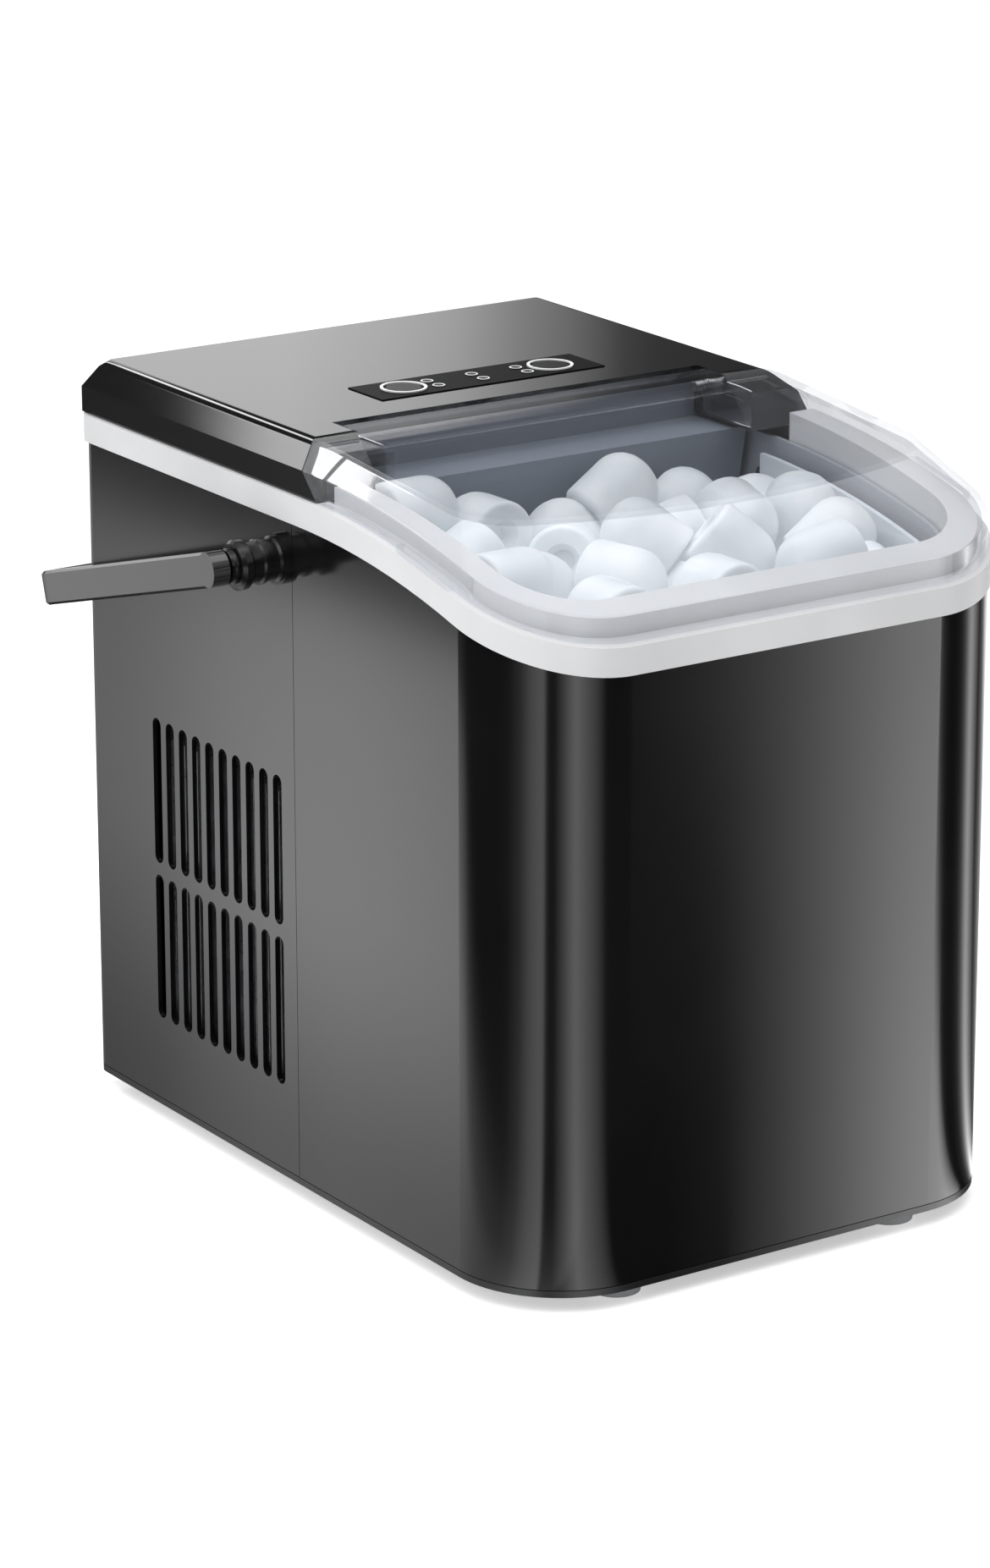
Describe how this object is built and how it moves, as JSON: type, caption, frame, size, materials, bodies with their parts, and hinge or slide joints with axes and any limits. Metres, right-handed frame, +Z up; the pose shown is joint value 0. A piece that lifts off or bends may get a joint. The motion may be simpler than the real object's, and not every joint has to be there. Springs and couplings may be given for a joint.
{
  "type": "ice maker",
  "caption": "Countertop bullet-ice maker: gloss and satin dark casing, light frame, clear hinged lid over an ice basket, top buttons and a folding carrying handle.",
  "frame": {"origin": "on the worktop under the middle of the part's box: midway across, and midway from the casing's front band to the rear of the folded handle", "axes": "x to the right seen from the front, y to the rear, z up; the front faces -y"},
  "size_m": [0.2814, 0.3218, 0.2889],
  "materials": {
    "black_plastic": "moulded black plastic",
    "foot_rubber": "grey rubber",
    "gloss_casing": "gloss black",
    "white_plastic": "white moulded plastic",
    "soft_black": "black rubber",
    "dark_steel": "blackened steel",
    "chrome_trim": "bright trim",
    "lens": "clear indicator lens",
    "circuit_board": "green circuit board",
    "button_black": "black button",
    "smoked_clear": "lightly smoked clear plastic",
    "steel": "turned steel",
    "grey_plastic": "blue-grey moulded plastic",
    "grey_plastic_dark": "dark grey moulded plastic",
    "foam": "expanded foam",
    "pale_plastic": "pale translucent plastic",
    "sensor_black": "infrared sensor window",
    "copper": "copper",
    "zinc": "zinc-plated steel",
    "pump_black": "black pump body",
    "silicone": "translucent silicone hose",
    "enamel_black": "black enamel",
    "aluminium_fins": "aluminium fins",
    "fan_plastic": "dark grey fan plastic",
    "handle_grey": "smooth grey plastic"
  },
  "bodies": {
    "machine": {"base_tray": "black_plastic", "feet": "foot_rubber", "front_wrap": "gloss_casing", "rear_shell": "gloss_casing", "top_frame": "white_plastic", "top_cover": "gloss_casing", "cord_gland": "soft_black", "rear_screws": "dark_steel", "control_overlay": "gloss_casing", "button_rings": "chrome_trim", "indicator_lenses": "lens", "control_board": "circuit_board", "hinge_pins": "steel", "evaporator_cover": "grey_plastic", "tank": "grey_plastic", "tank_insulation": "foam", "ice_sensors": "sensor_black", "level_probes": "steel", "evaporator": "copper", "tray_motor": "zinc", "water_pump": "pump_black", "pump_hose": "silicone", "drain_spout": "white_plastic", "compressor": "enamel_black", "compressor_grommets": "soft_black", "compressor_bolts": "zinc", "condenser": "aluminium_fins", "fan_shroud": "grey_plastic_dark", "fan_motor": "zinc", "filter_drier": "copper", "solenoid_valve": "zinc", "refrigerant_tubes": "copper", "power_board": "circuit_board", "handle_bosses": "black_plastic", "handle_collars": "chrome_trim", "pivot_pins": "steel"},
    "lid": {"lid": "smoked_clear"},
    "handle": {"carry_handle": "handle_grey", "handle_bushes": "black_plastic"},
    "basket": {"ice_basket": "pale_plastic"},
    "power_key": {"power_button": "button_black"},
    "select_key": {"select_button": "button_black"},
    "tray": {"water_tray": "pale_plastic"},
    "shovel": {"ice_shovel": "pale_plastic"},
    "fan": {"fan_rotor": "fan_plastic", "fan_shaft": "steel"},
    "drain_plug": {"drain_cap": "soft_black"}
  },
  "joints": [
    {"name": "lid_hinge", "type": "hinge", "parent": "machine", "child": "lid", "pos_m": [0, 0.00189, 0.282], "axis": [-1, 0, 0], "range_deg": [0, 95]},
    {"name": "handle_hinge", "type": "hinge", "parent": "machine", "child": "handle", "pos_m": [0, -0.00061, 0.244], "axis": [-1, 0, 0], "range_deg": [-106, 0]},
    {"name": "basket_lift", "type": "slide", "parent": "machine", "child": "basket", "axis": [0, 0, 1], "range_m": [0, 0.006]},
    {"name": "power_press", "type": "slide", "parent": "machine", "child": "power_key", "axis": [0, 0, -1], "range_m": [0, 0.001], "stiffness_N_per_m": 400},
    {"name": "select_press", "type": "slide", "parent": "machine", "child": "select_key", "axis": [0, 0, -1], "range_m": [0, 0.001], "stiffness_N_per_m": 400},
    {"name": "tray_tilt", "type": "hinge", "parent": "machine", "child": "tray", "pos_m": [0, 0.03589, 0.224], "axis": [1, 0, 0], "range_deg": [0, 50]},
    {"name": "shovel_sweep", "type": "hinge", "parent": "machine", "child": "shovel", "pos_m": [0, 0.03589, 0.224], "axis": [1, 0, 0], "range_deg": [-130, 0]},
    {"name": "fan_spin", "type": "hinge", "parent": "machine", "child": "fan", "pos_m": [-0.0717, 0.04789, 0.099], "axis": [1, 0, 0], "continuous": true},
    {"name": "drain_pull", "type": "slide", "parent": "machine", "child": "drain_plug", "axis": [1, 0, 0], "range_m": [0, 0.02]}
  ],
  "couplings": [
    {"joint": "shovel_sweep", "follows": "tray_tilt", "ratio": -2.6}
  ]
}
